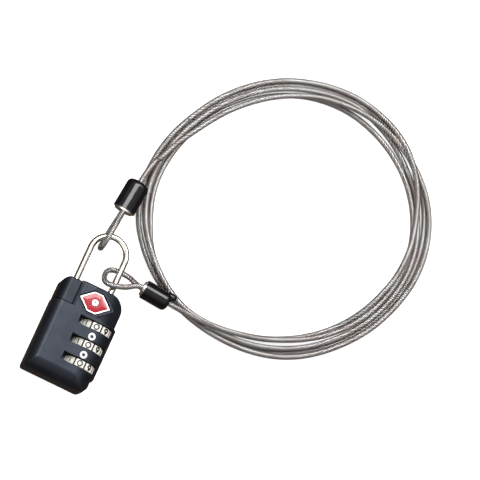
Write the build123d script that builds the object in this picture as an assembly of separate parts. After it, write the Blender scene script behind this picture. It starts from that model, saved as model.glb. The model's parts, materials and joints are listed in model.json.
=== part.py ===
from build123d import *
import math
import os

# Cable luggage lock: a three-dial padlock with a lifting shackle, whose shackle
# carries the two crimped eyes of a coiled, plastic-covered wire rope.
# The lock lies on its back. +X is towards the dials, +Y is the way the shackle
# lifts, +Z is out of the dial face. All sizes are in millimetres.

# ---- driving dimensions ----
WIDTH = 31.5                 # left edge to the dial drum
HEIGHT = 70.8                # bottom edge to the top of the shackle
THICK = 17.7                 # back face to dial face
LEFT = -WIDTH / 2
BOTTOM = -HEIGHT / 2
TOP = 9.6                    # top edge of the body
BODY_RIGHT = 14.7            # right edge of the body beside the drum
MID = THICK / 2              # plane where the two housings meet
FIT = 0.1                    # gap round every sliding piece
SNUG = 0.02                  # gap round every piece that stays put

DRUM_R = THICK / 2           # the drum that houses the dials
DRUM_X = WIDTH / 2 - DRUM_R
DRUM_Y0 = -29.15
DRUM_Y1 = -3.35
DRUM_END = 2.4               # rounding of the drum's lower end
EDGE = 4.5                   # rounding of the left edge and of the back edges
CORNERS = [2.2, EDGE, 7.5, 5.0]      # seen from the front, from the lower left, clockwise
CHIN = 6.0                   # rounding of the face's lower edge
LINE_DEEP = 0.3              # groove along the line where the housings meet
LINE_HALF = 0.17
SHOULDER_DROP = 1.6          # how far the shoulder beside the badge falls away
RIVETS = [(-13.4, -31.0), (-13.4, -5.6), (1.8, -32.4), (11.2, 5.0)]
RIVET_R = 0.8
RIVET_HEAD_R = 1.3
RIVET_HEAD_Z = 2.1           # the heads lie this deep in the back
RIVET_HEAD = 0.63            # thickness of a head
RIVET_TOP = 13.5

ROD_R = 1.4                  # shackle rod
LONG_X = -9.5
SHORT_X = 6.8
LONG_END = -21.0
SHORT_END = 4.6
LIFT = 6.5                   # travel of the shackle
CLIP_Y = -19.6
CHAMBER_R = 2.3
CHAMBER_Y0 = -32.0
CHAMBER_Y1 = CLIP_Y + LIFT + 0.7

PRESS = 0.6                  # travel of the release button
CAP_X0 = LEFT + 0.25
CAP_X1 = -6.95
CAP_Y0 = -2.2
CAP_Y1 = 8.9
CAP_SEAM = 0.45
LIP_WIDE = 0.8               # the rear housing's step behind the button's lower edge
LIP_TALL = 1.3
RIB_Z0 = 11.6                # the front housing's rib behind the slot beside the button
RIB_Z1 = 15.7
RIB_UNDER = 0.3
BUTTON_SPRING_Y = 2.9

BAR_X0 = -6.2
BAR_X1 = -4.1
BAR_Y0 = -24.6
BAR_Y1 = 4.8
BAR_HALF = 1.2               # half the bar's thickness along Z

DIALS = {"top": -6.65, "middle": -15.5, "bottom": -24.35}
WHEEL_R = 7.85
WHEEL_W = 3.4
SLOT_HALF = 1.95
SLOT_X0 = -2.1
SLOT_X1 = 14.0
HUB_R = 4.1
CAM_R = 3.6
CAM_W = 2.2
ARBOR_R = 1.6
ARBOR_Y0 = -29.4
ARBOR_Y1 = 0.6
DETENT_X = DRUM_X + 6.0
DETENT_ROOM = 2.6            # depth of the hole for each detent's ball and spring
DIGITS = 10
NOTCH = 0.75                 # side of the square groove between two digits

RING_X = 6.3
INDEX_TURN = -3.0            # the wheels' middle digit faces the rings, this far round from +Z
RING_DROP = 0.6              # index rings sit this far below mid-web
RING_R = 1.65
RING_HOLE = 0.75

KEY_X = -4.2
KEY_Y = -28.6
PLUG_R = 2.4
SLEEVE_R = 3.0
PLUG_TOP = 6.0

BADGE_X = 1.45
BADGE_Y = 2.3
BADGE_W = 7.1                # half width, corner to centre
BADGE_H = 4.5                # half height
BADGE_FLAT = 1.95            # half of the flat at the top and bottom
BADGE_GAP = 0.75
BADGE_RIM = 0.55
BADGE_FLOOR = THICK - 1.3

CABLE_R = 1.4
UP_Z = 9.9                   # height of the upper crimp's axis
LOW_Z = 10.6                 # height of the lower crimp's axis
UP_NEAR = (-3.3, 46.8)
UP_FAR = (-1.85, 60.7)
LOW_NEAR = (19.05, 18.9)
LOW_FAR = (31.4, 18.0)
CRIMPS = {
    "upper": {"near": UP_NEAR, "far": UP_FAR, "z": UP_Z, "side": 5.15, "up": 4.3},
    "lower": {"near": LOW_NEAR, "far": LOW_FAR, "z": LOW_Z, "side": 4.25, "up": 5.0},
}
SLEEVE_WALL = 0.9
FERRULE_SHOW = 0.8           # how far the ferrule stands out of its sleeve
FERRULE_SHORT = 1.6          # how far it ends before the sleeve's far face

COIL_X = 63.2
COIL_Y = 75.5
COIL_TURN = 24.5             # degrees that the coil's long axis is turned
COIL_OUT = (65.5, 62.6)
COIL_IN = (56.4, 52.3)
COIL_TALL = 5.8
COIL_LOW = 5.4               # its height where the crimps lie over it
COIL_LOW_FROM = 146          # degrees round the coil, where it becomes low
COIL_LOW_TO = 237

os.makedirs("parts", exist_ok=True)


# ---- small helpers ----
def block(x0, x1, y0, y1, z0, z1):
    centre = Pos((x0 + x1) / 2, (y0 + y1) / 2, (z0 + z1) / 2)
    return centre * Box(x1 - x0, y1 - y0, z1 - z0)


def rod_x(y, z, r, x0, x1):
    return Pos((x0 + x1) / 2, y, z) * Rot(0, 90, 0) * Cylinder(r, x1 - x0)


def rod_y(x, z, r, y0, y1):
    return Pos(x, (y0 + y1) / 2, z) * Rot(90, 0, 0) * Cylinder(r, y1 - y0)


def rod_z(x, y, r, z0, z1):
    return Pos(x, y, (z0 + z1) / 2) * Cylinder(r, z1 - z0)


def plate(points, radii, z0, z1):
    """An upright prism on a rounded outline in the XY plane."""
    outline = FilletPolyline(*points, radius=radii, close=True)
    return extrude(Pos(0, 0, z0) * make_face(outline), z1 - z0)


def profile_along_y(points, radii, y0, y1):
    """A prism along Y on an outline given as (x, z) points."""
    flat = [(x, 0, z) for x, z in points]
    face = make_face(FilletPolyline(*flat, radius=radii, close=True))
    return Pos(0, y0, 0) * extrude(face, y1 - y0, dir=(0, 1, 0))


def profile_along_x(points, radii, x0, x1):
    """A prism along X on an outline given as (y, z) points."""
    flat = [(0, y, z) for y, z in points]
    face = make_face(FilletPolyline(*flat, radius=radii, close=True))
    return Pos(x0, 0, 0) * extrude(face, x1 - x0, dir=(1, 0, 0))


def hexagon(grow, z0, z1):
    """The badge's long hexagon, grown evenly by a margin."""
    slope = math.atan2(BADGE_H, BADGE_W - BADGE_FLAT)
    w = BADGE_W + grow / math.sin(slope)
    h = BADGE_H + grow
    f = BADGE_FLAT + grow * math.tan(slope / 2)
    corners = [(w, 0), (f, h), (-f, h), (-w, 0), (-f, -h), (f, -h)]
    points = [(BADGE_X + x, BADGE_Y + y) for x, y in corners]
    return plate(points, 0.25, z0, z1)


def coil_spring(radius, wire, pitch, length):
    """A helical spring standing on Z = 0, with its wire inside the length."""
    path = Helix(pitch=pitch, height=length - 2 * wire, radius=radius)
    start = Plane(origin=path @ 0, z_dir=path % 0)
    wire_body = sweep(start * Circle(wire), path=path, is_frenet=True)
    return Pos(0, 0, wire) * wire_body


def save(node, shape):
    shape.label = node
    export_step(shape, f"parts/{node}.step")


# ---- body ----
def body_corners(inset):
    x0 = LEFT + inset
    x1 = BODY_RIGHT - inset
    y0 = BOTTOM + inset
    y1 = TOP - inset
    return [(x0, y0), (x0, y1), (x1, y1), (x1, y0)]


def body_outline():
    across = [(LEFT, 0), (LEFT, THICK), (BODY_RIGHT, THICK), (BODY_RIGHT, 0)]
    soft = MID - 0.3
    section = profile_along_y(across, [EDGE, EDGE, soft, soft], BOTTOM - 1, TOP + 1)
    front = plate(body_corners(0), CORNERS, -1, THICK + 1)
    side = [(BOTTOM, 0), (BOTTOM, THICK), (TOP, THICK), (TOP, 0)]
    depth = profile_along_x(side, [EDGE, CHIN, 1.2, EDGE], LEFT - 1, BODY_RIGHT + 1)
    return section & front & depth


def drum():
    shape = rod_y(DRUM_X, MID, DRUM_R, DRUM_Y0, DRUM_Y1)
    ends = shape.faces().filter_by(Axis.Y).sort_by(Axis.Y)
    shape = fillet(ends[0].edges(), DRUM_END)
    top = shape.faces().filter_by(Axis.Y).sort_by(Axis.Y)[-1]
    return chamfer(top.edges(), 0.5)


def parting_groove():
    """A shallow groove all round, along the plane where the housings meet."""
    z0 = MID - LINE_HALF
    z1 = MID + LINE_HALF
    inner = plate(body_corners(LINE_DEEP), [r - LINE_DEEP for r in CORNERS], z0, z1)
    inner += rod_y(DRUM_X, MID, DRUM_R - LINE_DEEP, DRUM_Y0 + LINE_DEEP, DRUM_Y1 - LINE_DEEP)
    return block(-40, 40, -60, 60, z0, z1) - inner


def shoulder():
    """The part of the face that falls away to the right of the badge."""
    far = BODY_RIGHT + 5
    low = THICK - SHOULDER_DROP
    start = -0.6
    curve = [(start, THICK + 1), (start, THICK), (3.0, THICK - 0.9), (9.0, low - 0.4), (far, low - 7.5),
             (far, THICK + 1)]
    return profile_along_y(curve, [0, 0, 8, 12, 0, 0], DRUM_Y1, TOP + 1)


def whole_body():
    body = body_outline() - shoulder()
    pedestal = hexagon(BADGE_GAP + BADGE_RIM, MID, THICK)
    rim = hexagon(BADGE_GAP + BADGE_RIM, THICK - 1, THICK + 0.25) & block(-9, 11, -9, TOP - 1.3, 0, 30)
    body = body + (pedestal & body_outline()) + rim + drum()
    return body - hexagon(BADGE_GAP, BADGE_FLOOR, THICK + 1) - parting_groove()


def button_rests(press=0.0, clear=0.0):
    """What the housings put behind the slots beside and below the button."""
    slot_end = CAP_Y0 - CAP_SEAM - 1
    rib_x0 = CAP_X1 - RIB_UNDER - press
    rib = block(rib_x0, BAR_X0 + 1, slot_end, TOP + 2, RIB_Z0 - clear, RIB_Z1 + clear)
    lip = block(LEFT - 2, BAR_X0 + 1, slot_end, CAP_Y0 + LIP_WIDE + clear, -2, LIP_TALL + clear)
    return rib + lip


def leg_and_mechanism_room():
    """Everything that is hollow in both housings."""
    room = rod_y(LONG_X, MID, ROD_R + FIT, CHAMBER_Y1 - 1, CAP_Y0)
    room += rod_y(LONG_X, MID, CHAMBER_R, CHAMBER_Y0, CHAMBER_Y1)
    room += rod_y(SHORT_X, MID, ROD_R + FIT, SHORT_END - 0.3, TOP + 1)
    gap = CAP_X1 + PRESS + FIT
    room += block(LEFT - 1, gap, CAP_Y0 - CAP_SEAM, TOP + 1, -1, THICK + 2) - button_rests()
    tall = BAR_HALF + FIT
    room += block(BAR_X0 - 0.2, BAR_X1 + PRESS + FIT, BAR_Y0 - 0.2, BAR_Y1 + 0.2, MID - tall, MID + tall)
    room += block(gap - 0.5, BAR_X0, 1.0, BAR_Y1 + 0.2, MID - tall, MID + tall)
    room += block(LONG_X + ROD_R - 0.6, BAR_X0, -9.4, -7.1, MID - 1.05, MID + 1.05)
    room += rod_x(BUTTON_SPRING_Y, MID, 1.3, BAR_X1, 1.0)
    for y in DIALS.values():
        cam_y = y + WHEEL_W / 2 + CAM_W / 2
        room += rod_y(DRUM_X, MID, CAM_R + 0.3, y + SLOT_HALF, y + WHEEL_W / 2 + CAM_W + 0.2)
        room += block(BAR_X1, DRUM_X - 2, y + SLOT_HALF - 0.1, cam_y + 0.9, MID - 1.05, MID + 1.05)
        room += rod_y(DETENT_X, MID, 0.8, y - SLOT_HALF - DETENT_ROOM, y - SLOT_HALF + 0.1)
    room += rod_y(DRUM_X, MID, ARBOR_R + SNUG, ARBOR_Y0, ARBOR_Y1)
    room += rod_z(KEY_X, KEY_Y, 2.6, PLUG_TOP - 0.2, MID + 0.8)
    return room


def wheel_room(y):
    return rod_y(DRUM_X, MID, WHEEL_R + 0.2, y - SLOT_HALF, y + SLOT_HALF)


def front_housing(body, room):
    shell = body & block(-40, 40, -60, 60, MID, THICK + 5)
    shell -= room
    for y in DIALS.values():
        shell -= wheel_room(y)
        shell -= block(SLOT_X0, SLOT_X1, y - SLOT_HALF, y + SLOT_HALF, MID + 3, THICK + 1)
    for x, y in RIVETS:
        shell -= rod_z(x, y, RIVET_R + SNUG, MID - 1, RIVET_TOP + SNUG)
    for y in ring_places():
        shell -= rod_z(RING_X, y, RING_R + SNUG, THICK - 0.45, THICK + 1)
    return shell


def rear_housing(body, room):
    shell = body & block(-40, 40, -60, 60, -1, MID)
    shell -= room
    for y in DIALS.values():
        shell -= wheel_room(y)
    for x, y in RIVETS:
        shell -= rod_z(x, y, RIVET_R + SNUG, -1, MID + 1)
        shell -= rod_z(x, y, RIVET_HEAD_R + SNUG, -1, RIVET_HEAD_Z + RIVET_HEAD + SNUG)
    shell -= rod_z(KEY_X, KEY_Y, SLEEVE_R + SNUG, -1, PLUG_TOP - 0.2)
    return shell


def ring_places():
    rows = sorted(DIALS.values())
    return [(a + b) / 2 - RING_DROP for a, b in zip(rows, rows[1:])]


def index_rings():
    rings = []
    for y in ring_places():
        ring = rod_z(RING_X, y, RING_R, THICK - 0.43, THICK + 0.05)
        rings.append(ring - rod_z(RING_X, y, RING_HOLE, 0, THICK + 1))
    return Compound(children=rings)


def housing_rivets():
    pins = []
    for x, y in RIVETS:
        head = rod_z(x, y, RIVET_HEAD_R, RIVET_HEAD_Z, RIVET_HEAD_Z + RIVET_HEAD)
        pins.append(rod_z(x, y, RIVET_R, RIVET_HEAD_Z, RIVET_TOP) + head)
    return Compound(children=pins)


# ---- release button ----
def release_button():
    x0, x1 = CAP_X0, CAP_X1
    across = [(x0, 0.35), (x0, THICK - 0.35), (x1, THICK - 0.35), (x1, 0.35)]
    section = profile_along_y(across, [EDGE, EDGE - 0.3, 1.0, 1.0], CAP_Y0 - 1, CAP_Y1 + 1)
    corners = [(x0, CAP_Y0), (x0, CAP_Y1), (x1, CAP_Y1), (x1, CAP_Y0)]
    front = plate(corners, [0.4, 4.2, 1.4, 0.3], -1, THICK + 1)
    side = [(CAP_Y0 - 2, 0), (CAP_Y0 - 2, THICK), (CAP_Y1 + 0.1, THICK), (CAP_Y1 + 0.1, 0)]
    depth = profile_along_x(side, [0, 0, 1.8, 3.4], x0 - 1, x1 + 1)
    cap = (section & front & depth) - button_rests(PRESS + FIT, 2 * FIT)
    reach = ROD_R + FIT
    cap -= rod_y(LONG_X, MID, reach, CAP_Y0 - 1, CAP_Y1 + 1)
    cap -= rod_y(LONG_X - PRESS, MID, reach, CAP_Y0 - 1, CAP_Y1 + 1)
    cap -= block(LONG_X - PRESS, LONG_X, CAP_Y0 - 1, CAP_Y1 + 1, MID - reach, MID + reach)
    return cap


def locking_bar():
    bar = block(BAR_X0, BAR_X1, BAR_Y0, BAR_Y1, MID - BAR_HALF, MID + BAR_HALF)
    bar += block(CAP_X1, BAR_X0, 1.2, BAR_Y1, MID - BAR_HALF, MID + BAR_HALF)
    bar += block(LONG_X + ROD_R + FIT, BAR_X0, -9.0, -7.5, MID - 0.95, MID + 0.95)
    tip = DRUM_X - CAM_R - 0.15 - PRESS
    for y in DIALS.values():
        cam_y = y + WHEEL_W / 2 + CAM_W / 2
        bar += block(BAR_X1, tip, cam_y - 0.7, cam_y + 0.7, MID - 0.95, MID + 0.95)
    return bar


def button_spring():
    spring = coil_spring(0.85, 0.2, 0.9, 1.0 - BAR_X1 - 0.1)
    return Pos(BAR_X1 + 0.05, BUTTON_SPRING_Y, MID) * Rot(0, 90, 0) * spring


# ---- shackle ----
def shackle():
    bow_r = (SHORT_X - LONG_X) / 2
    bow_y = HEIGHT / 2 - ROD_R - bow_r
    long_leg = Line((LONG_X, LONG_END, MID), (LONG_X, bow_y, MID))
    middle = ((LONG_X + SHORT_X) / 2, bow_y + bow_r, MID)
    bow = ThreePointArc((LONG_X, bow_y, MID), middle, (SHORT_X, bow_y, MID))
    short_leg = Line((SHORT_X, bow_y, MID), (SHORT_X, SHORT_END, MID))
    path = Wire([long_leg, bow, short_leg])
    section = Plane((LONG_X, LONG_END, MID), z_dir=(0, 1, 0)) * Circle(ROD_R)
    rod = sweep(section, path=path)
    ends = rod.faces().filter_by(Axis.Y).edges()
    rod = chamfer(ends, 0.35)
    rod -= block(LONG_X + ROD_R - 0.9, LONG_X + 3, -9.4, -7.1, 0, THICK)
    neck = rod_y(LONG_X, MID, ROD_R + 1, CLIP_Y - 0.37, CLIP_Y + 0.37)
    return rod - (neck - rod_y(LONG_X, MID, 1.0, CLIP_Y - 1, CLIP_Y + 1))


def leg_clip():
    ring = rod_y(LONG_X, MID, 2.1, CLIP_Y - 0.3, CLIP_Y + 0.3)
    ring -= rod_y(LONG_X, MID, 1.03, CLIP_Y - 1, CLIP_Y + 1)
    return ring - block(LONG_X - 0.8, LONG_X + 0.8, CLIP_Y - 1, CLIP_Y + 1, MID, MID + 4)


def shackle_spring():
    length = LONG_END - CHAMBER_Y0 - 0.2
    spring = coil_spring(1.6, 0.28, 1.5, length)
    return Pos(LONG_X, CHAMBER_Y0 + 0.1, MID) * Rot(-90, 0, 0) * spring


# ---- dials ----
def dial_wheel(y):
    wheel = rod_y(DRUM_X, MID, WHEEL_R, y - WHEEL_W / 2, y + WHEEL_W / 2)
    ends = wheel.faces().filter_by(Axis.Y).edges()
    wheel = chamfer(ends, 0.2)
    for step in range(DIGITS):
        turn = 360 / DIGITS * (step + 0.5) + INDEX_TURN
        notch = Pos(0, 0, WHEEL_R + 0.08) * Rot(0, 45, 0) * Box(NOTCH, WHEEL_W + 1, NOTCH)
        wheel -= Pos(DRUM_X, y, MID) * Rot(0, turn, 0) * notch
    return wheel - rod_y(DRUM_X, MID, HUB_R + SNUG, y - WHEEL_W, y + WHEEL_W)


def dial_hub(y):
    hub = rod_y(DRUM_X, MID, HUB_R, y - WHEEL_W / 2 + 0.1, y + WHEEL_W / 2 - 0.1)
    cam_y1 = y + WHEEL_W / 2 + CAM_W
    cam = rod_y(DRUM_X, MID, CAM_R, y, cam_y1)
    rim = DRUM_X - CAM_R
    gate = block(rim - 1, rim + 1.1, y + WHEEL_W / 2 - 0.1, cam_y1 + 1, MID - 1.3, MID + 1.3)
    hub = hub + cam - gate
    return hub - rod_y(DRUM_X, MID, ARBOR_R + 0.06, y - WHEEL_W, y + 3 * WHEEL_W)


def dial_arbor():
    arbor = rod_y(DRUM_X, MID, ARBOR_R, ARBOR_Y0 + SNUG, ARBOR_Y1 - SNUG)
    return chamfer(arbor.faces().filter_by(Axis.Y).edges(), 0.3)


def detent_balls():
    balls = [Pos(DETENT_X, y - SLOT_HALF - 0.72, MID) * Sphere(0.72) for y in DIALS.values()]
    return Compound(children=balls)


def detent_springs():
    springs = []
    for y in DIALS.values():
        floor = y - SLOT_HALF - DETENT_ROOM
        turned = Rot(-90, 0, 0) * coil_spring(0.5, 0.1, 0.35, 1.1)
        springs.append(Pos(DETENT_X, floor + 0.02, MID) * turned)
    return Compound(children=springs)


# ---- master key lock in the back ----
def key_sleeve():
    ring = rod_z(KEY_X, KEY_Y, SLEEVE_R, 0.2, PLUG_TOP - 0.22)
    return ring - rod_z(KEY_X, KEY_Y, PLUG_R + 0.05, 0, PLUG_TOP)


def key_plug():
    plug = rod_z(KEY_X, KEY_Y, PLUG_R, 0.25, PLUG_TOP)
    plug = chamfer(plug.faces().sort_by(Axis.Z)[0].edges(), 0.3)
    keyway = block(KEY_X - 0.45, KEY_X + 0.45, KEY_Y - 1.6, KEY_Y + 1.3, 0, 4.8)
    ward = block(KEY_X + 0.1, KEY_X + 0.95, KEY_Y - 0.5, KEY_Y + 0.1, 0, 4.8)
    return plug - keyway - ward


def key_cam():
    disc = rod_z(KEY_X, KEY_Y, 2.1, PLUG_TOP, PLUG_TOP + 1.0)
    pin = rod_z(KEY_X - 1.5, KEY_Y, 0.55, PLUG_TOP + 1.0, MID + 0.5)
    return disc + pin


# ---- badge ----
def badge_plate():
    return hexagon(0, BADGE_FLOOR, THICK + 0.1) - hexagon(-0.75, THICK - 0.45, THICK + 1)


def badge_enamel():
    return hexagon(-0.75 - SNUG, THICK - 0.45, THICK - 0.1)


# ---- cable ends ----
def oval_along(near, far, z, a_side, a_up, trim=0.0):
    """An oval bar between two points at one height, with half sizes sideways and up."""
    dx = far[0] - near[0]
    dy = far[1] - near[1]
    length = math.hypot(dx, dy)
    start = Plane(origin=(near[0], near[1], z), x_dir=(-dy, dx, 0), z_dir=(dx, dy, 0))
    bar = extrude(start * Ellipse(a_side, a_up), length)
    if trim:
        middle = Vector(near[0], near[1], z)
        rims = bar.edges().group_by(lambda edge: (edge.center() - middle).length)
        bar = fillet(rims[-1], trim)
    return bar


def along(near, far, d):
    """The point at distance d from near, on the way to far."""
    length = math.hypot(far[0] - near[0], far[1] - near[1])
    t = d / length
    return (near[0] + (far[0] - near[0]) * t, near[1] + (far[1] - near[1]) * t)


def ferrule(crimp):
    near = along(crimp["near"], crimp["far"], -FERRULE_SHOW)
    far = along(crimp["far"], crimp["near"], FERRULE_SHORT)
    side = crimp["side"] - SLEEVE_WALL
    up = crimp["up"] - SLEEVE_WALL
    return oval_along(near, far, crimp["z"], side, up)


def sleeve(crimp):
    bar = oval_along(crimp["near"], crimp["far"], crimp["z"], crimp["side"], crimp["up"], 2.2)
    inner_far = along(crimp["far"], crimp["near"], FERRULE_SHORT)
    near = along(crimp["near"], crimp["far"], -1.0)
    side = crimp["side"] - SLEEVE_WALL + SNUG
    up = crimp["up"] - SLEEVE_WALL + SNUG
    bar -= oval_along(near, inner_far, crimp["z"], side, up)
    past = along(crimp["far"], crimp["near"], -2)
    return bar - oval_along(inner_far, past, crimp["z"], CABLE_R + SNUG, CABLE_R + SNUG)


# ---- cable ----
def corner_radii(points):
    """An arc at each inner point, as large as its two runs allow."""
    radii = []
    for a, b, c in zip(points, points[1:], points[2:]):
        before = Vector(*b) - Vector(*a)
        after = Vector(*c) - Vector(*b)
        turn = math.radians(before.get_angle(after))
        radii.append(0.45 * min(before.length, after.length) / math.tan(turn / 2))
    return radii


def tube(name, points):
    radii = corner_radii(points)
    path = FilletPolyline(*points, radius=radii)
    start = Plane(origin=path @ 0, z_dir=path % 0)
    body = sweep(start * Circle(CABLE_R), path=path, transition=Transition.RIGHT)
    expected = math.pi * CABLE_R ** 2 * path.length
    print(name, "radii", [round(r, 1) for r in radii], "length", round(path.length, 1),
          "volume ratio", round(body.volume / expected, 4))
    return body


# The eyes leave the crimps' near faces and come back to them.
EYE_UPPER = [
    (-3.38, 46.0, UP_Z + 1.45),
    (-3.66, 43.4, UP_Z + 1.8),
    (-4.25, 38.0, 14.1),
    (-5.45, 27.2, 14.1),
    (-5.45, 27.2, 4.3),
    (-4.15, 39.0, 3.8),
    (-3.66, 43.4, UP_Z - 2.4),
    (-3.38, 46.0, UP_Z - 1.45),
]
EYE_LOWER = [
    (18.25, 18.95, LOW_Z + 1.45),
    (15.6, 18.7, LOW_Z + 1.7),
    (10.6, 14.9, 12.6),
    (1.1, 12.9, 12.1),
    (1.1, 21.5, 5.6),
    (10.6, 22.0, 6.2),
    (15.6, 19.6, LOW_Z - 1.9),
    (18.25, 19.0, LOW_Z - 1.45),
]
# The leads run from the crimps' far faces down into the coil.
LEAD_UPPER = [
    (-2.02, 59.11, UP_Z),
    (-1.1, 66.2, 9.4),
    (0.9, 73.6, 8.2),
    (4.0, 80.9, 6.6),
    (8.2, 87.6, 5.2),
    (13.2, 93.4, 4.4),
]
LEAD_LOWER = [
    (29.8, 18.12, LOW_Z),
    (36.0, 17.7, 10.1),
    (42.4, 17.5, 9.1),
    (49.0, 17.8, 7.6),
    (55.6, 18.7, 6.1),
    (62.0, 20.2, 4.9),
]


def ring_face(outer, inner):
    return Ellipse(*outer) - Ellipse(*inner)


def cable_coil():
    """The outer shape of the coil: tall all round, low where the crimps lie over it."""
    outline = ring_face(COIL_OUT, COIL_IN)
    tall = extrude(outline, COIL_TALL)
    far = COIL_OUT[0] * 1.6
    wedge = [(0, 0)]
    steps = 3
    for step in range(steps + 1):
        turn = math.radians(COIL_LOW_FROM + (COIL_LOW_TO - COIL_LOW_FROM) * step / steps)
        wedge.append((far * math.cos(turn), far * math.sin(turn)))
    sector = extrude(Pos(0, 0, COIL_LOW) * make_face(Polyline(*wedge, close=True)), COIL_TALL)
    return Pos(COIL_X, COIL_Y, 0) * Rot(0, 0, COIL_TURN) * (tall - sector)


# ---- write every piece ----
def main():
    body = whole_body()
    room = leg_and_mechanism_room()
    save("front_housing", front_housing(body, room))
    save("rear_housing", rear_housing(body, room))
    save("index_rings", index_rings())
    save("housing_rivets", housing_rivets())
    save("release_button", release_button())
    save("locking_bar", locking_bar())
    save("button_spring", button_spring())
    save("shackle", shackle())
    save("leg_clip", leg_clip())
    save("shackle_spring", shackle_spring())
    for name, y in DIALS.items():
        save(f"dial_wheel_{name}", dial_wheel(y))
        save(f"dial_hub_{name}", dial_hub(y))
    save("dial_arbor", dial_arbor())
    save("detent_balls", detent_balls())
    save("detent_springs", detent_springs())
    save("key_sleeve", key_sleeve())
    save("key_plug", key_plug())
    save("key_cam", key_cam())
    save("badge_plate", badge_plate())
    save("badge_enamel", badge_enamel())
    for name, crimp in CRIMPS.items():
        save(f"ferrule_{name}", ferrule(crimp))
        save(f"sleeve_{name}", sleeve(crimp))
    save("cable_eye_upper", tube("cable_eye_upper", EYE_UPPER))
    save("cable_eye_lower", tube("cable_eye_lower", EYE_LOWER))
    save("cable_lead_upper", tube("cable_lead_upper", LEAD_UPPER))
    save("cable_lead_lower", tube("cable_lead_lower", LEAD_LOWER))
    save("cable_coil", cable_coil())


main()
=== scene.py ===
# The looks of a cable luggage lock: a padlock with three dials, on its back, and a
# coiled wire rope in clear plastic that is crimped round its shackle.
# Blender works in metres, in the CAD frame. The lengths of the cable, the digits and
# the badge are millimetres here, and so is whatever goes through mm() or MM.

import json
import math

import bpy
from mathutils import Matrix, Vector


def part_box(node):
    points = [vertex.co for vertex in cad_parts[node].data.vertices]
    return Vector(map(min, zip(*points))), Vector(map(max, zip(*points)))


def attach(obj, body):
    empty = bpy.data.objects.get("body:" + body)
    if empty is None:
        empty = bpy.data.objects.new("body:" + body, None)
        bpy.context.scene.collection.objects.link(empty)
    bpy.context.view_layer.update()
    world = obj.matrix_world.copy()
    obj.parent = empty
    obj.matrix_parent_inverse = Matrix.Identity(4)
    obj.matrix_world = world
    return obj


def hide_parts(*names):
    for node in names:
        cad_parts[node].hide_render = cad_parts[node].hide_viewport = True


MM = 0.001

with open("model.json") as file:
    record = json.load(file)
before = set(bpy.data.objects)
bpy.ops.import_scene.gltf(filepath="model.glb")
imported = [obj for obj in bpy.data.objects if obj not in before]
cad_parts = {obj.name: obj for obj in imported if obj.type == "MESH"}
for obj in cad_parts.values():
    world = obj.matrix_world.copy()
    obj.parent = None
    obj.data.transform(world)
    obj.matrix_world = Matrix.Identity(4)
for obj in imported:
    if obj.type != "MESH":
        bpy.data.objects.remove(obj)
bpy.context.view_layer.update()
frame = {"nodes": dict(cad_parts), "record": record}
NODES = frame["nodes"]


def mm(*values):
    return Vector([v * MM for v in values])


def box_corners(node):
    """The low and the high corner of a CAD node's box."""
    return [Vector(corner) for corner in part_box(node)]


def ring_faces(rings, around):
    """Faces between rings of points, with the first and the last ring closed."""
    faces = []
    for i in range(rings - 1):
        low = i * around
        high = low + around
        for k in range(around):
            nxt = (k + 1) % around
            faces.append((low + k, low + nxt, high + nxt, high + k))
    faces.append(tuple(reversed(range(around))))
    faces.append(tuple(range((rings - 1) * around, rings * around)))
    return faces


def add_mesh(name, verts, faces, smooth=False):
    """A new mesh object in the scene."""
    mesh = bpy.data.meshes.new(name)
    mesh.from_pydata(verts, [], faces)
    if smooth:
        mesh.shade_smooth()
    made = bpy.data.objects.new(name, mesh)
    bpy.context.scene.collection.objects.link(made)
    return made


# ---- camera ----
# It looks down on the lock and the coil from far off, a little from the lock's foot.
TARGET = mm(48.97, 58.5, 4.0)
VIEW_FROM = Vector((-0.108, -0.209, 0.972)).normalized()
VIEW_UP = Vector((-0.435, 0.889, 0.143)).normalized()
DISTANCE = 10.0
FIELD = 0.2087               # width of the view at the target
SENSOR_MM = 36.0
FAR_CLIP = 30.0


def make_camera():
    data = bpy.data.cameras.new("camera")
    data.sensor_width = SENSOR_MM
    data.lens = SENSOR_MM * DISTANCE / FIELD
    data.clip_end = FAR_CLIP
    camera = bpy.data.objects.new("camera", data)
    right = VIEW_UP.cross(VIEW_FROM).normalized()
    up = VIEW_FROM.cross(right)
    turn = Matrix((right, up, VIEW_FROM)).transposed()
    camera.matrix_world = Matrix.Translation(TARGET + VIEW_FROM * DISTANCE) @ turn.to_4x4()
    bpy.context.scene.collection.objects.link(camera)
    bpy.context.scene.camera = camera


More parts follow.
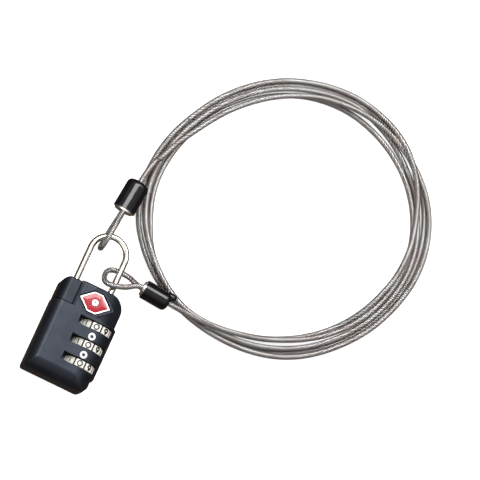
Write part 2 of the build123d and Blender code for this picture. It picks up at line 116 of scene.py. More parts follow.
# ---- node materials ----
class Shader:
    """A material with one Principled shader, and short calls for its nodes."""

    def __init__(self, name, **values):
        self.material = bpy.data.materials.new(name)
        self.material.use_nodes = True
        self.tree = self.material.node_tree
        self.main = self.tree.nodes["Principled BSDF"]
        for socket, value in values.items():
            self.main.inputs[socket.replace("_", " ")].default_value = value
        coordinates = self.tree.nodes.new("ShaderNodeTexCoord")
        self.place = coordinates.outputs["Object"]

    def join(self, source, target):
        self.tree.links.new(source, target)

    def node(self, kind, **values):
        made = self.tree.nodes.new("ShaderNode" + kind)
        for name, value in values.items():
            setattr(made, name, value)
        return made

    def noise(self, size_mm, detail=3.0, roughness=0.5, stretch=None):
        """Noise whose grains are about size_mm across."""
        made = self.node("TexNoise")
        made.inputs["Scale"].default_value = 1.0 / (size_mm * MM)
        made.inputs["Detail"].default_value = detail
        made.inputs["Roughness"].default_value = roughness
        source = self.place
        if stretch:
            mapping = self.node("Mapping")
            mapping.inputs["Scale"].default_value = stretch
            self.join(self.place, mapping.inputs["Vector"])
            source = mapping.outputs["Vector"]
        self.join(source, made.inputs["Vector"])
        return made.outputs["Fac"]

    def ramp(self, source, *stops):
        """A colour or grey ramp; each stop is (place, colour or grey)."""
        made = self.node("ValToRGB")
        points = made.color_ramp.elements
        while len(points) < len(stops):
            points.new(0.5)
        for point, (place, value) in zip(points, stops):
            point.position = place
            point.color = value if isinstance(value, tuple) else (value, value, value, 1.0)
        self.join(source, made.inputs["Fac"])
        return made.outputs["Color"]

    def mix(self, fac, a, b, blend="MIX"):
        """Two colours mixed. The Mix node's colours are its inputs 6 and 7 and its output 2."""
        made = self.node("Mix", data_type="RGBA", blend_type=blend)
        for socket, value in ((made.inputs[0], fac), (made.inputs[6], a), (made.inputs[7], b)):
            if isinstance(value, bpy.types.NodeSocket):
                self.join(value, socket)
            else:
                socket.default_value = value
        return made.outputs[2]

    def bump(self, height, distance_mm, strength=1.0, after=None):
        made = self.node("Bump")
        made.inputs["Distance"].default_value = distance_mm * MM
        made.inputs["Strength"].default_value = strength
        self.join(height, made.inputs["Height"])
        if after:
            self.join(after, made.inputs["Normal"])
        self.join(made.outputs["Normal"], self.main.inputs["Normal"])
        return made.outputs["Normal"]

    def set(self, socket, source):
        self.join(source, self.main.inputs[socket])


def rgb(r, g, b):
    """A colour from 0-255 screen values."""
    linear = []
    for value in (r, g, b):
        c = value / 255
        linear.append(c / 12.92 if c <= 0.04045 else ((c + 0.055) / 1.055) ** 2.4)
    return (*linear, 1.0)


GROOVE_DEEP_MM = 0.35        # the grooves between the digits of a wheel


def wheel_middle(node):
    """The middle of a dial wheel and its radius, in metres."""
    low, high = box_corners(node)
    return (low + high) / 2, (high.z - low.z) / 2


def slate_paint(name, dark, light):
    """Satin metallic paint with fine flakes and a fine orange peel."""
    s = Shader(name, Metallic=0.75, Specular_IOR_Level=0.3, Coat_Weight=0.1, Coat_Roughness=0.2)
    tone = s.ramp(s.noise(6.0, 4.0), (0.35, dark), (0.7, light))
    flake = s.ramp(s.noise(0.12, 2.0), (0.45, rgb(32, 35, 42)), (0.75, rgb(92, 98, 108)))
    s.set("Base Color", s.mix(0.14, tone, flake))
    s.set("Roughness", s.ramp(s.noise(1.6, 3.0), (0.3, 0.34), (0.75, 0.44)))
    s.bump(s.noise(0.28, 2.0), 0.012, 0.6)
    return s.material


def bright_metal(name, dark, light, rough, scratch=0.004):
    """Plated metal with faint fine scratches."""
    s = Shader(name, Metallic=1.0)
    s.set("Base Color", s.ramp(s.noise(3.0, 4.0), (0.3, dark), (0.7, light)))
    low = s.noise(0.9, 5.0)
    s.set("Roughness", s.ramp(low, (0.3, rough), (0.8, rough * 1.9)))
    s.bump(s.noise(0.12, 4.0, 0.6, stretch=(1.0, 0.08, 1.0)), scratch, 0.5)
    return s.material


def dark_steel(name):
    """Blackened steel, as of the rivets."""
    s = Shader(name, Metallic=0.7)
    s.set("Base Color", s.ramp(s.noise(0.8, 3.0), (0.3, rgb(16, 17, 20)), (0.8, rgb(44, 46, 52))))
    s.set("Roughness", s.ramp(s.noise(0.5, 3.0), (0.3, 0.35), (0.8, 0.6)))
    return s.material


def dial_nickel(name):
    """Pale nickel, turned near black as painted shade in the grooves between the digits and on the
    wheel's sides.
    """
    s = Shader(name, Metallic=0.1, Coat_Weight=0.3, Coat_Roughness=0.15)
    tone = s.ramp(s.noise(1.3, 4.0), (0.3, rgb(236, 229, 214)), (0.7, rgb(252, 249, 242)))
    split = s.node("SeparateXYZ")
    s.join(s.place, split.inputs[0])
    middle, radius = wheel_middle("dial_wheel_top")
    squares = []
    for axis in (0, 2):
        offset = s.node("Math", operation="SUBTRACT")
        s.join(split.outputs[axis], offset.inputs[0])
        offset.inputs[1].default_value = middle[axis]
        square = s.node("Math", operation="MULTIPLY")
        s.join(offset.outputs[0], square.inputs[0])
        s.join(offset.outputs[0], square.inputs[1])
        squares.append(square.outputs[0])
    total = s.node("Math", operation="ADD")
    s.join(squares[0], total.inputs[0])
    s.join(squares[1], total.inputs[1])
    # Painted shade: below the grooves' depth, in the grooves and on the wheel's sides, the nickel is
    # mixed towards near black.
    depth = s.node("MapRange")
    depth.inputs["From Min"].default_value = (radius - GROOVE_DEEP_MM * MM) ** 2
    depth.inputs["From Max"].default_value = radius ** 2
    s.join(total.outputs[0], depth.inputs["Value"])
    groove_shade = s.ramp(depth.outputs[0], (0.55, 1.0), (0.9, 0.0))
    s.set("Base Color", s.mix(groove_shade, tone, rgb(22, 18, 15)))
    s.set("Roughness", s.ramp(s.noise(0.4, 4.0), (0.3, 0.25), (0.8, 0.4)))
    s.bump(s.noise(0.1, 3.0, 0.5, stretch=(1.0, 0.1, 1.0)), 0.003, 0.3)
    return s.material


def gloss_paint(name, dark, light, rough):
    """A smooth glossy surface: moulded plastic, enamel or ink."""
    s = Shader(name, Coat_Weight=0.3, Coat_Roughness=0.1)
    s.set("Base Color", s.ramp(s.noise(1.2, 3.0), (0.3, dark), (0.7, light)))
    s.set("Roughness", s.ramp(s.noise(0.6, 3.0), (0.3, rough), (0.8, rough * 1.6)))
    s.bump(s.noise(0.35, 2.0), 0.006, 0.4)
    return s.material


def black_vinyl(name):
    """Glossy shrunk vinyl, a little uneven, so that the highlights' edges wander."""
    s = Shader(name, Specular_IOR_Level=0.4, Coat_Weight=0.15, Coat_Roughness=0.03)
    s.set("Base Color", s.ramp(s.noise(2.0, 3.0), (0.3, rgb(10, 9, 13)), (0.7, rgb(18, 17, 22))))
    s.set("Roughness", s.ramp(s.noise(0.9, 3.0), (0.3, 0.05), (0.8, 0.12)))
    wave = s.bump(s.noise(4.0, 1.0), 0.12, 0.4)
    s.bump(s.noise(0.6, 3.0), 0.006, 0.4, after=wave)
    return s.material


def wire_metal(name):
    """Steel wires with a painted highlight on each crest, painted shade in the grooves between the
    wires, and a warm cast under the plastic.
    """
    s = Shader(name, Metallic=0.72)
    groove = s.node("Attribute", attribute_name="crest")
    # Painted light: each wire's crest is coloured near white as a highlight and the groove between wires
    # near black as shade.
    crest = s.ramp(groove.outputs["Fac"], (0.6, rgb(5, 6, 11)), (0.74, rgb(128, 124, 124)),
                   (0.83, rgb(255, 253, 250)))
    patch = s.ramp(s.noise(9.0, 2.0), (0.35, rgb(226, 216, 212)), (0.65, rgb(255, 255, 255)))
    s.set("Base Color", s.mix(1.0, crest, patch, "MULTIPLY"))
    s.set("Roughness", s.ramp(s.noise(0.5, 3.0), (0.3, 0.22), (0.8, 0.36)))
    return s.material


def clear_sheath(name):
    """Clear plastic: mostly see-through, with its own long highlights."""
    s = Shader(name, Alpha=0.13, Specular_IOR_Level=0.8, IOR=1.5,
               Coat_Weight=1.0, Coat_Roughness=0.04)
    s.set("Base Color", s.ramp(s.noise(7.0, 2.0), (0.3, rgb(60, 58, 60)), (0.7, rgb(92, 89, 89))))
    s.set("Roughness", s.ramp(s.noise(1.1, 3.0), (0.3, 0.06), (0.8, 0.16)))
    return s.material


def make_materials():
    """Every material by its name. All but the last two are named after the record's slots."""
    return {
        "housing_paint": slate_paint("housing_paint", rgb(38, 42, 50), rgb(47, 51, 59)),
        # The button's paint is the housing's paint made darker: painted shade on the cap.
        "button_paint": slate_paint("button_paint", rgb(29, 33, 39), rgb(37, 41, 48)),
        "index_white": gloss_paint("index_white", rgb(226, 226, 224), rgb(244, 244, 242), 0.3),
        "dark_steel": dark_steel("dark_steel"),
        "plain_steel": bright_metal("plain_steel", rgb(150, 150, 150), rgb(186, 186, 184), 0.26),
        "spring_steel": bright_metal("spring_steel", rgb(120, 120, 124), rgb(164, 164, 166), 0.24),
        "shackle_chrome": bright_metal("shackle_chrome", rgb(240, 233, 220), rgb(252, 248, 240),
                                       0.13, 0.001),
        "dial_nickel": dial_nickel("dial_nickel"),
        "key_brass": bright_metal("key_brass", rgb(176, 140, 74), rgb(212, 176, 104), 0.2),
        "badge_metal": bright_metal("badge_metal", rgb(238, 236, 232), rgb(252, 251, 248), 0.24),
        "badge_red": gloss_paint("badge_red", rgb(160, 6, 28), rgb(182, 12, 36), 0.16),
        "ferrule_metal": bright_metal("ferrule_metal", rgb(222, 218, 213), rgb(246, 243, 238), 0.25),
        "sleeve_vinyl": black_vinyl("sleeve_vinyl"),
        "cable_sheath": clear_sheath("cable_sheath"),
        "wire": wire_metal("wire"),
        "digit_ink": gloss_paint("digit_ink", rgb(12, 12, 14), rgb(26, 25, 26), 0.35),
    }


def slots_of_nodes():
    """The record's material slot of each CAD node."""
    found = {}
    for part in frame["record"]["subparts"]:
        for node in part.get("nodes", [part.get("node")]):
            found[node] = part["material_slot"]
    return found


# ---- cable ----
CABLE_R = 1.4
CORE_R = 1.22                # the rope inside the clear sheath
UP_Z = 9.9                   # heights of the two crimps' axes
LOW_Z = 10.6
STRAND_OFF = 1.45            # a strand in a crimp lies this far over or under its axis

TAIL_UPPER = [(-2.9, 52.4, UP_Z + STRAND_OFF)]
EYE_UPPER = [
    (-3.38, 46.0, UP_Z + STRAND_OFF),
    (-3.66, 43.4, UP_Z + 1.8),
    (-4.25, 38.0, 14.1),
    (-5.45, 27.2, 14.1),
    (-5.45, 27.2, 4.3),
    (-4.15, 39.0, 3.8),
    (-3.66, 43.4, UP_Z - 2.4),
    (-3.38, 46.0, UP_Z - STRAND_OFF),
]
LEAD_UPPER = [
    (-2.02, 59.11, UP_Z),
    (-1.1, 66.2, 9.4),
    (0.9, 73.6, 8.2),
]
LEAD_LOWER = [
    (55.0, 18.3, 7.2),
    (48.4, 17.7, 8.0),
    (41.2, 17.6, 9.1),
    (36.0, 17.7, 10.1),
    (29.8, 18.12, LOW_Z),
]
EYE_LOWER = [
    (18.25, 19.0, LOW_Z - STRAND_OFF),
    (15.6, 19.6, LOW_Z - 1.9),
    (10.6, 22.0, 6.2),
    (1.1, 21.5, 5.6),
    (1.1, 12.9, 12.1),
    (10.6, 14.9, 12.6),
    (15.6, 18.7, LOW_Z + 1.7),
    (18.25, 18.95, LOW_Z + STRAND_OFF),
]
TAIL_LOWER = [(24.0, 18.54, LOW_Z + STRAND_OFF)]

# The coil's outer ellipse.
COIL_X = 63.2
COIL_Y = 75.5
COIL_TURN = math.radians(24.5)
COIL_A = 65.5
COIL_B = 62.6
STEP_DEG = 10                # between the points of the coil's line
EASE = 0.35                  # how much of the way between two stations is eased
LEVEL_SPREAD_DEG = [-8, -4, 0, 4, 8]    # a point's height is the mean over these places

# The turns run clockwise, each from the coil's left side, where the first joins a
# little late. A station is (degrees from the left side, inset from the outer ellipse).
TURN_OVER = [
    [(24, 3.6), (34, 6.4), (44, 8.9), (56, 9.9), (75, 9.4), (90, 8.1), (105, 6.5), (120, 5.3),
     (135, 3.8), (150, 2.7), (170, 1.4), (185, 1.3), (200, 1.7), (220, 3.1), (245, 3.1),
     (270, 1.8), (285, 2.2), (300, 2.7), (316, 2.4), (335, 1.8)],
    [(0, 0.8), (12, 0.8), (30, 2.2), (50, 3.5), (70, 2.6), (90, 1.2), (120, -0.1), (138, 0.4),
     (150, 2.0), (160, 3.9), (170, 5.8), (180, 7.8), (200, 9.8), (220, 11.3), (245, 11.3),
     (262, 10.8), (275, 10.1), (290, 8.2), (305, 4.8), (316, 2.4), (326, 2.6), (335, 3.4)],
    [(0, 3.5), (12, 3.5), (30, 4.9), (50, 6.3), (70, 5.9), (90, 4.8), (120, 3.3), (135, 4.2),
     (150, 5.2), (165, 5.9), (180, 6.1), (200, 6.0), (220, 6.5), (245, 6.6), (262, 5.9),
     (275, 5.5), (290, 4.9), (305, 4.5), (316, 3.5), (326, 3.4), (335, 3.8)],
    [(0, 3.5), (12, 3.5), (30, 4.2), (50, 5.0), (70, 4.3), (90, 3.1), (120, 1.7), (138, 1.6),
     (150, 1.9), (165, 2.4), (180, 3.2), (200, 4.0), (220, 4.9), (245, 4.9), (262, 4.3),
     (275, 3.7), (290, 3.5), (305, 3.6), (316, 4.3), (335, 3.9)],
    [(0, 6.2), (12, 6.4), (30, 7.6), (50, 8.4), (70, 8.4), (90, 7.4), (105, 6.9), (120, 7.0),
     (135, 7.6), (150, 8.0), (170, 8.4), (185, 8.5), (205, 8.7), (225, 8.9), (245, 9.0),
     (262, 9.4), (272, 9.5), (282, 8.6), (294, 6.9)],
]
# Which turn lies on which, from the floor up, in three stretches of the way round.
STACK_ORDER = [
    (0, [3, 4, 1, 2, 0]),
    (128, [3, 2, 4, 0, 1]),
    (235, [3, 0, 2, 1, 4]),
]
TURN_REACH_DEG = 20          # a turn still takes up room this far past its ends
ALMOST_ROUND_DEG = 359.9

SHEATH_STEP = 1.6            # between the rings of the sheath
SHEATH_AROUND = 14
WIRES = 9
PER_WIRE = 4                 # points round each wire
LAY = 11.3                   # length of one turn of the wires
CORE_STEP = 0.62             # between the rings of the rope
CORE_PARTS = 4
GROOVE = 0.22                # depth of the grooves between the wires

# The capped tail beside the lower sleeve.
NUB_MIDDLE = (31.75, 20.5, LOW_Z + 1.8)
NUB_ALONG = Vector((12.35, -0.9, 0)).normalized()
NUB_R = 1.62
NUB_TIP = 0.25               # the flat at its tip, as a part of its radius
NUB_BACK = 2.4
NUB_AHEAD = 1.9
NUB_STEPS = 12
NUB_AROUND = 28


def between(stations, at):
    """A smooth value at one place, from stations of (place, value)."""
    if at <= stations[0][0]:
        return stations[0][1]
    for (a, low), (b, high) in zip(stations, stations[1:]):
        if at <= b:
            t = (at - a) / (b - a)
            t = t * t * (3 - 2 * t) * EASE + t * (1 - EASE)
            return low + (high - low) * t
    return stations[-1][1]


def inset_of(turn, degrees):
    """How far in from the outer ellipse a turn lies. It runs on into the next turn."""
    stations = list(TURN_OVER[turn])
    if turn + 1 < len(TURN_OVER):
        following = TURN_OVER[turn + 1]
        stations.append((360 + following[0][0], following[0][1]))
    return between(stations, degrees)


def turn_ends(turn):
    """Where a turn starts and ends. All but the last run on to the left side."""
    last = 360 if turn + 1 < len(TURN_OVER) else TURN_OVER[turn][-1][0]
    return TURN_OVER[turn][0][0], last


def heights_at(degrees):
    """Each turn's height where it lies on the floor or on the turns under it."""
    order = [turns for start, turns in STACK_ORDER if start <= degrees][-1]
    laid = {}
    for turn in order:
        first, last = turn_ends(turn)
        if not first - TURN_REACH_DEG <= degrees <= last + TURN_REACH_DEG:
            continue
        inset = inset_of(turn, degrees)
        height = CABLE_R
        for other_inset, other_height in laid.values():
            apart = abs(inset - other_inset)
            if apart < 2 * CABLE_R:
                height = max(height, other_height + math.sqrt(4 * CABLE_R ** 2 - apart ** 2))
        laid[turn] = (inset, height)
    return {turn: height for turn, (inset, height) in laid.items()}


def coil_point(turn, degrees):
    """A point on a turn's middle line, its height evened out with the places beside it."""
    near = [min(max(degrees + d, 0), ALMOST_ROUND_DEG) for d in LEVEL_SPREAD_DEG]
    heights = [heights_at(d).get(turn) for d in near]
    heights = [h for h in heights if h is not None]
    phi = math.radians(180 - degrees)
    inset = inset_of(turn, degrees)
    normal = Vector((COIL_B * math.cos(phi), COIL_A * math.sin(phi))).normalized()
    x = COIL_A * math.cos(phi) - normal.x * inset
    y = COIL_B * math.sin(phi) - normal.y * inset
    return (
        COIL_X + x * math.cos(COIL_TURN) - y * math.sin(COIL_TURN),
        COIL_Y + x * math.sin(COIL_TURN) + y * math.cos(COIL_TURN),
        sum(heights) / len(heights),
    )


def coil_points():
    """The coil's turns, as points every few degrees."""
    points = []
    for turn in range(len(TURN_OVER)):
        first, last = turn_ends(turn)
        points += [coil_point(turn, degrees) for degrees in range(first, last, STEP_DEG)]
    return points


def nurbs(name, points):
    """A smooth open curve with these control points, given in millimetres."""
    data = bpy.data.curves.new(name, "CURVE")
    data.dimensions = "3D"
    spline = data.splines.new("NURBS")
    spline.points.add(len(points) - 1)
    for point, place in zip(spline.points, points):
        point.co = (*mm(*place), 1.0)
    spline.order_u = 3
    spline.use_endpoint_u = True
    spline.resolution_u = 8
    made = bpy.data.objects.new(name, data)
    bpy.context.scene.collection.objects.link(made)
    return made


def read_line(curve):
    """The points along a curve that has no bevel."""
    mesh = bpy.data.meshes.new_from_object(curve)
    points = [v.co.copy() for v in mesh.vertices]
    bpy.data.meshes.remove(mesh)
    return points


def resample(points, step):
    """Points an even distance apart along a line of points."""
    lengths = [0.0]
    for a, b in zip(points, points[1:]):
        lengths.append(lengths[-1] + (b - a).length)
    count = max(2, int(round(lengths[-1] / step)))
    made = []
    i = 0
    for k in range(count + 1):
        want = lengths[-1] * k / count
        while i < len(points) - 2 and lengths[i + 1] < want:
            i += 1
        span = lengths[i + 1] - lengths[i] or 1.0
        made.append(points[i].lerp(points[i + 1], (want - lengths[i]) / span))
    return made


def carried_frames(points):
    """Two directions across the line at each point, carried along without twist."""
    frames = []
    along = (points[1] - points[0]).normalized()
    side = along.orthogonal().normalized()
    for i in range(len(points)):
        ahead = points[min(i + 1, len(points) - 1)]
        behind = points[max(i - 1, 0)]
        now = (ahead - behind).normalized()
        side = along.rotation_difference(now) @ side
        side = (side - now * side.dot(now)).normalized()
        along = now
        frames.append((side, now.cross(side)))
    return frames


def tube_mesh(name, points, frames, section):
    """A tube along points; section(i) gives (across, up, value) round it at point i."""
    verts = []
    values = []
    for i, (point, (side, up)) in enumerate(zip(points, frames)):
        for a, b, value in section(i):
            verts.append(point + side * a + up * b)
            values.append(value)
    around = len(verts) // len(points)
    made = add_mesh(name, verts, ring_faces(len(points), around), smooth=True)
    crest = made.data.attributes.new("crest", "FLOAT", "POINT")
    crest.data.foreach_set("value", values)
    return made


def round_section(radius, count):
    """A plain round ring for tube_mesh."""
    ring = []
    for k in range(count):
        angle = 2 * math.pi * k / count
        ring.append((radius * math.cos(angle), radius * math.sin(angle), 1.0))
    return ring


def rope_section(turned):
    """A ring of wires: round crests with sharp grooves between them, turned by the lay."""
    ring = []
    count = WIRES * PER_WIRE
    for k in range(count):
        part = (k % PER_WIRE) / PER_WIRE
        crest = math.sin(math.pi * part)
        radius = (CORE_R - GROOVE * (1 - crest)) * MM
        angle = 2 * math.pi * k / count + turned
        ring.append((radius * math.cos(angle), radius * math.sin(angle), crest))
    return ring


def make_nub(materials):
    """The cable's capped tail, which stands out of the lower sleeve beside the lead."""
    length = NUB_BACK + NUB_AHEAD
    points = []
    rings = []
    for i in range(NUB_STEPS + 1):
        at = length * (1 - (1 - i / NUB_STEPS) ** 2)
        points.append(mm(*NUB_MIDDLE) + NUB_ALONG * (at - NUB_BACK) * MM)
        into_tip = max(0.0, 1 - (length - at) / NUB_R)
        radius = max(NUB_TIP, math.sqrt(1 - into_tip ** 2)) * NUB_R * MM
        rings.append(round_section(radius, NUB_AROUND))
    nub = tube_mesh("sleeve_tail", points, carried_frames(points), lambda i: rings[i])
    nub.data.materials.append(materials["sleeve_vinyl"])
    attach(nub, "lock_body")
    return nub


def make_sheath(materials, even):
    """The clear plastic over the rope, which replaces the CAD cable."""
    sheath_ring = round_section(CABLE_R * MM, SHEATH_AROUND)
    sheath = tube_mesh("cable_sheath", even, carried_frames(even), lambda i: sheath_ring)
    sheath.data.materials.append(materials["cable_sheath"])
    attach(sheath, "lock_body")
    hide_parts("cable_eye_upper", "cable_eye_lower", "cable_lead_upper",
                "cable_lead_lower", "cable_coil")
    return sheath


def make_cores(materials, fine):
    """The wire rope, in a few lengths whose wires run on from one to the next."""
    frames = carried_frames(fine)
    per_part = len(fine) // CORE_PARTS
    cores = []
    for part in range(CORE_PARTS):
        first = part * per_part
        last = len(fine) if part == CORE_PARTS - 1 else first + per_part + 1

        def section(i, first=first):
            return rope_section(2 * math.pi * (first + i) * CORE_STEP / LAY)

        core = tube_mesh(f"wire_rope_{part + 1}", fine[first:last], frames[first:last], section)
        core.data.materials.append(materials["wire"])
        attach(core, "lock_body")
        cores.append(core)
    return cores


def make_cable(materials):
    """The whole cable, from the tail in one crimp to the tail in the other."""
    route = TAIL_UPPER + EYE_UPPER + LEAD_UPPER + coil_points() + LEAD_LOWER + EYE_LOWER + TAIL_LOWER
    curve = nurbs("cable_line", route)
    line = read_line(curve)
    bpy.data.objects.remove(curve)
    even = resample(line, SHEATH_STEP * MM)
    sheath = make_sheath(materials, even)
    cores = make_cores(materials, resample(line, CORE_STEP * MM))
    nub = make_nub(materials)
    length = sum((b - a).length for a, b in zip(even, even[1:]))
    print("cable length", round(length, 4), "top of the coil", round(max(p.z for p in line), 4))


# ---- digits on the dials ----
INK_WIDE = 0.72
ONE_WIDE = 0.46              # the 1 is drawn finer
INK_THICK = 0.12
INK_PROUD = 0.03
INDEX_TURN = math.radians(-3)    # the 0 stands this far off straight up


def arc(x, y, wide, tall, start, end, steps=28):
    """Points along part of an ellipse, in millimetres, from one angle to another in degrees."""
    points = []
    for k in range(steps + 1):
        angle = math.radians(start + (end - start) * k / steps)
        points.append((x + wide * math.cos(angle), y + tall * math.sin(angle)))
    return points


def digit_strokes():
    """The middle lines of the ten digits' strokes, about each digit's middle."""
    return [
        [arc(0, 0, 1.08, 1.1, 0, 360)],
        [[(0, 1.12), (0, 0.4), (0, -0.4), (0, -1.12)]],
        [arc(0, 0.45, 0.72, 0.65, 165, -35) + [(-0.2, -0.6), (-0.75, -1.1), (0, -1.1), (0.8, -1.1)]],
        [arc(-0.05, 0.55, 0.62, 0.55, 150, -90), arc(-0.05, -0.55, 0.75, 0.55, 90, -150)],
        [[(0.35, -1.12), (0.35, 0), (0.35, 1.1), (-0.3, 0.2), (-0.8, -0.45), (0, -0.45), (0.85, -0.45)]],
        [[(0.65, 1.1), (0, 1.1), (-0.5, 1.1), (-0.6, 0.1)] + arc(0, -0.4, 0.75, 0.7, 125, -150)],
        [arc(0, -0.4, 0.75, 0.7, 0, 360), [(-0.75, -0.35), (-0.62, 0.25), (-0.25, 0.8), (0.35, 1.15)]],
        [[(-0.75, 1.1), (0, 1.1), (0.75, 1.1), (0.2, 0), (-0.3, -1.12)]],
        [arc(0, 0.58, 0.6, 0.52, 0, 360), arc(0, -0.52, 0.75, 0.58, 0, 360)],
        [arc(0, 0.4, 0.75, 0.7, 0, 360), [(0.75, 0.35), (0.62, -0.25), (0.25, -0.8), (-0.35, -1.15)]],
    ]


def ribbon(points, wide):
    """The two edges of a stroke of even width along points."""
    left = []
    right = []
    for i, (x, y) in enumerate(points):
        ahead = Vector(points[min(i + 1, len(points) - 1)])
        behind = Vector(points[max(i - 1, 0)])
        along = (ahead - behind).normalized()
        left.append((x - along.y * wide / 2, y + along.x * wide / 2))
        right.append((x + along.y * wide / 2, y - along.x * wide / 2))
    return left, right


def digits_mesh(wheel):
    """Points and faces of the ten digits, bent round a wheel."""
    middle, radius = wheel_middle(wheel)
    out = radius + INK_PROUD * MM
    strokes = digit_strokes()
    verts = []
    faces = []
    for digit, lines in enumerate(strokes):
        turn = INDEX_TURN + 2 * math.pi * (len(strokes) - digit) / len(strokes)
        for line in lines:
            left, right = ribbon(line, ONE_WIDE if digit == 1 else INK_WIDE)
            first = len(verts)
            count = len(left)
            for x, y in left + right:
                angle = turn + x * MM / radius
                across = out * math.sin(angle)
                verts.append(middle + Vector((across, y * MM, out * math.cos(angle))))
            for k in range(first, first + count - 1):
                faces.append((k, k + count, k + count + 1, k + 1))
    return verts, faces


def make_digits(materials):
    """The painted figures 0 to 9 on each wheel."""
    for name in ("top", "middle", "bottom"):
        piece = add_mesh(f"digits_{name}", *digits_mesh(f"dial_wheel_{name}"))
        piece.data.materials.append(materials["digit_ink"])
        fill = piece.modifiers.new("thickness", "SOLIDIFY")
        fill.thickness = INK_THICK * MM
        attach(piece, f"dial_{name}")


# ---- badge ----
BADGE_FLAT = 1.95            # half the length of the hexagon's level sides
# Insets from the badge's edge and heights over the plate, from the foot up.
DOME = [(0.45, -0.3), (0.45, 0.03), (0.75, 0.12), (1.3, 0.19), (2.2, 0.24)]
# Radii and heights over the plate, from the foot over the rim to the face.
BOSS = [(1.62, 0.1), (1.5, 0.4), (1.32, 0.52), (1.1, 0.52), (0.95, 0.42)]
BOSS_AROUND = 40
BOSS_EDGE = 0.05
KEYHOLE_R = 0.36
KEYHOLE_HEAD_Y = 0.28
KEYHOLE_FOOT = (0.4, -0.62)  # its right corner
KEYHOLE_SUNK = 0.1
KEYHOLE_PROUD = 0.02


def badge_corners(grow):
    """The badge's long hexagon about its middle, grown evenly by a margin."""
    low, high = box_corners("badge_plate")
    wide = (high.x - low.x) / 2 / MM
    tall = (high.y - low.y) / 2 / MM
    slope = math.atan2(tall, wide - BADGE_FLAT)
    wide += grow / math.sin(slope)
    tall += grow
    flat = BADGE_FLAT + grow * math.tan(slope / 2)
    return [(wide, 0), (flat, tall), (-flat, tall), (-wide, 0), (-flat, -tall), (flat, -tall)]


def stack_of_rings(name, middle, rings, smooth=False):
    """A solid from (outline, height) rings about a middle, from its foot to its face."""
    verts = []
    for outline, height in rings:
        verts += [middle + mm(x, y, height) for x, y in outline]
    return add_mesh(name, verts, ring_faces(len(rings), len(rings[0][0])), smooth)


def badge_dome(middle):
    """The clear red dome poured over the badge, from its edge up to a gentle crown."""
    rings = [(badge_corners(-inset), height) for inset, height in DOME]
    return stack_of_rings("badge_dome", middle, rings)


def badge_boss(middle):
    """A low round boss with a raised rim and softened edges."""
    rings = []
    for radius, height in BOSS:
        circle = [(x, y) for x, y, value in round_section(radius, BOSS_AROUND)]
        rings.append((circle, height))
    made = stack_of_rings("badge_boss", middle, rings, smooth=True)
    bevel = made.modifiers.new("edges", "BEVEL")
    bevel.width = BOSS_EDGE * MM
    bevel.segments = 2
    return made


def badge_keyhole(middle):
    """A thin raised keyhole on the boss: a round head over a widening foot."""
    foot_x, foot_y = KEYHOLE_FOOT
    outline = arc(0, KEYHOLE_HEAD_Y, KEYHOLE_R, KEYHOLE_R, -50, 230, 12)
    outline += [(-foot_x, foot_y), (foot_x, foot_y)]
    face = BOSS[-1][1]
    rings = [(outline, face - KEYHOLE_SUNK), (outline, face + KEYHOLE_PROUD)]
    return stack_of_rings("badge_keyhole", middle, rings)


def make_badge(materials):
    """A domed enamel face with a plain round boss and a keyhole in its middle."""
    low, high = box_corners("badge_plate")
    middle = Vector(((low.x + high.x) / 2, (low.y + high.y) / 2, high.z))
    kinds = (
        (badge_dome(middle), "badge_red", "badge_red"),
        (badge_boss(middle), "badge_metal", "badge_metal"),
        (badge_keyhole(middle), "digit_ink", "dark_steel"),
    )
    for piece, material, slot in kinds:
        piece.data.materials.append(materials[material])
        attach(piece, "lock_body")


# ---- stage ----
FLOOR_HALF = 3.0
FLOOR_DROP = 0.0002          # the floor lies this far under the lock
# Heights on the sky, from the horizon up, and their colours.
SKY = [
    (0.02, (0.09, 0.06, 0.04)),
    (0.3, (0.06, 0.05, 0.045)),
    (0.55, (0.4, 0.39, 0.38)),
    (0.95, (0.66, 0.67, 0.69)),
]


def make_stage():
    """A white floor that gives light and isn't seen in the metal."""
    corners = [(-1, -1), (1, -1), (1, 1), (-1, 1)]
    verts = [(FLOOR_HALF * x, FLOOR_HALF * y, 0) for x, y in corners]
    floor = add_mesh("floor", verts, [(0, 1, 2, 3)])
    floor.location.z = -FLOOR_DROP
    floor.visible_glossy = False
    s = Shader("floor", Roughness=0.9, Emission_Strength=0.8)
    s.main.inputs["Emission Color"].default_value = (1, 1, 1, 1)
    s.set("Base Color", s.ramp(s.noise(40.0, 2.0), (0.3, 0.86), (0.7, 0.9)))
    floor.data.materials.append(s.material)


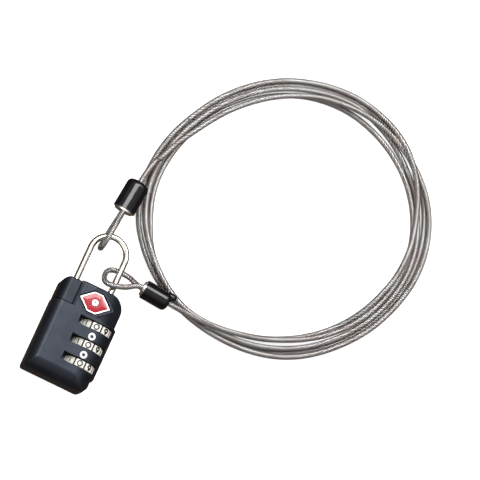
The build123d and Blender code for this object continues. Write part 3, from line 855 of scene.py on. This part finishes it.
def softbox(name, across, up, out, size, power, colour=(1.0, 1.0, 1.0)):
    """An area light placed by how far it is across, up and out from the picture's middle."""
    right = VIEW_UP.cross(VIEW_FROM).normalized()
    top = VIEW_FROM.cross(right)
    data = bpy.data.lights.new(name, "AREA")
    data.shape = "RECTANGLE"
    data.size = size[0]
    data.size_y = size[1]
    data.energy = power
    data.color = colour
    lamp = bpy.data.objects.new(name, data)
    offset = right * across + top * up + VIEW_FROM * out
    facing = offset.normalized()
    level = top.cross(facing).normalized()
    turn = Matrix((level, facing.cross(level), facing)).transposed()
    lamp.matrix_world = Matrix.Translation(TARGET + offset) @ turn.to_4x4()
    bpy.context.scene.collection.objects.link(lamp)


def make_world():
    """Bright overhead and dark near the horizon, before a backdrop as white as the floor."""
    world = bpy.data.worlds.new("world")
    world.use_nodes = True
    tree = world.node_tree
    place = tree.nodes.new("ShaderNodeTexCoord")
    split = tree.nodes.new("ShaderNodeSeparateXYZ")
    ramp = tree.nodes.new("ShaderNodeValToRGB")
    points = ramp.color_ramp.elements
    while len(points) < len(SKY):
        points.new(0.5)
    for point, (at, colour) in zip(points, SKY):
        point.position = at
        point.color = (*colour, 1.0)
    tree.links.new(place.outputs["Generated"], split.inputs[0])
    tree.links.new(split.outputs["Z"], ramp.inputs["Fac"])
    seen = tree.nodes.new("ShaderNodeLightPath")
    backdrop = tree.nodes.new("ShaderNodeMix")
    backdrop.data_type = "RGBA"
    backdrop.inputs[7].default_value = (1, 1, 1, 1)
    tree.links.new(seen.outputs["Is Camera Ray"], backdrop.inputs[0])
    tree.links.new(ramp.outputs["Color"], backdrop.inputs[6])
    tree.links.new(backdrop.outputs[2], tree.nodes["Background"].inputs["Color"])
    bpy.context.scene.world = world


def make_light():
    """Three softboxes and the world's own light."""
    softbox("key", 0.2, 0.42, 0.7, (0.7, 0.38), 6.8)
    softbox("side", -0.75, -0.35, 0.75, (0.5, 0.75), 1.9, (1.0, 0.97, 0.93))
    softbox("rim", 0.85, 0.35, 0.7, (0.3, 0.6), 2.0, (1.0, 0.98, 0.96))
    make_world()
    bpy.context.scene.view_settings.view_transform = "Standard"


def paint_nodes(materials):
    """Gives each CAD node the material of its slot."""
    slots = slots_of_nodes()
    for name, node in NODES.items():
        node.data.materials.clear()
        node.data.materials.append(materials[slots[name]])


make_camera()
make_stage()
make_light()
MATERIALS = make_materials()
make_cable(MATERIALS)
paint_nodes(MATERIALS)
make_digits(MATERIALS)
make_badge(MATERIALS)
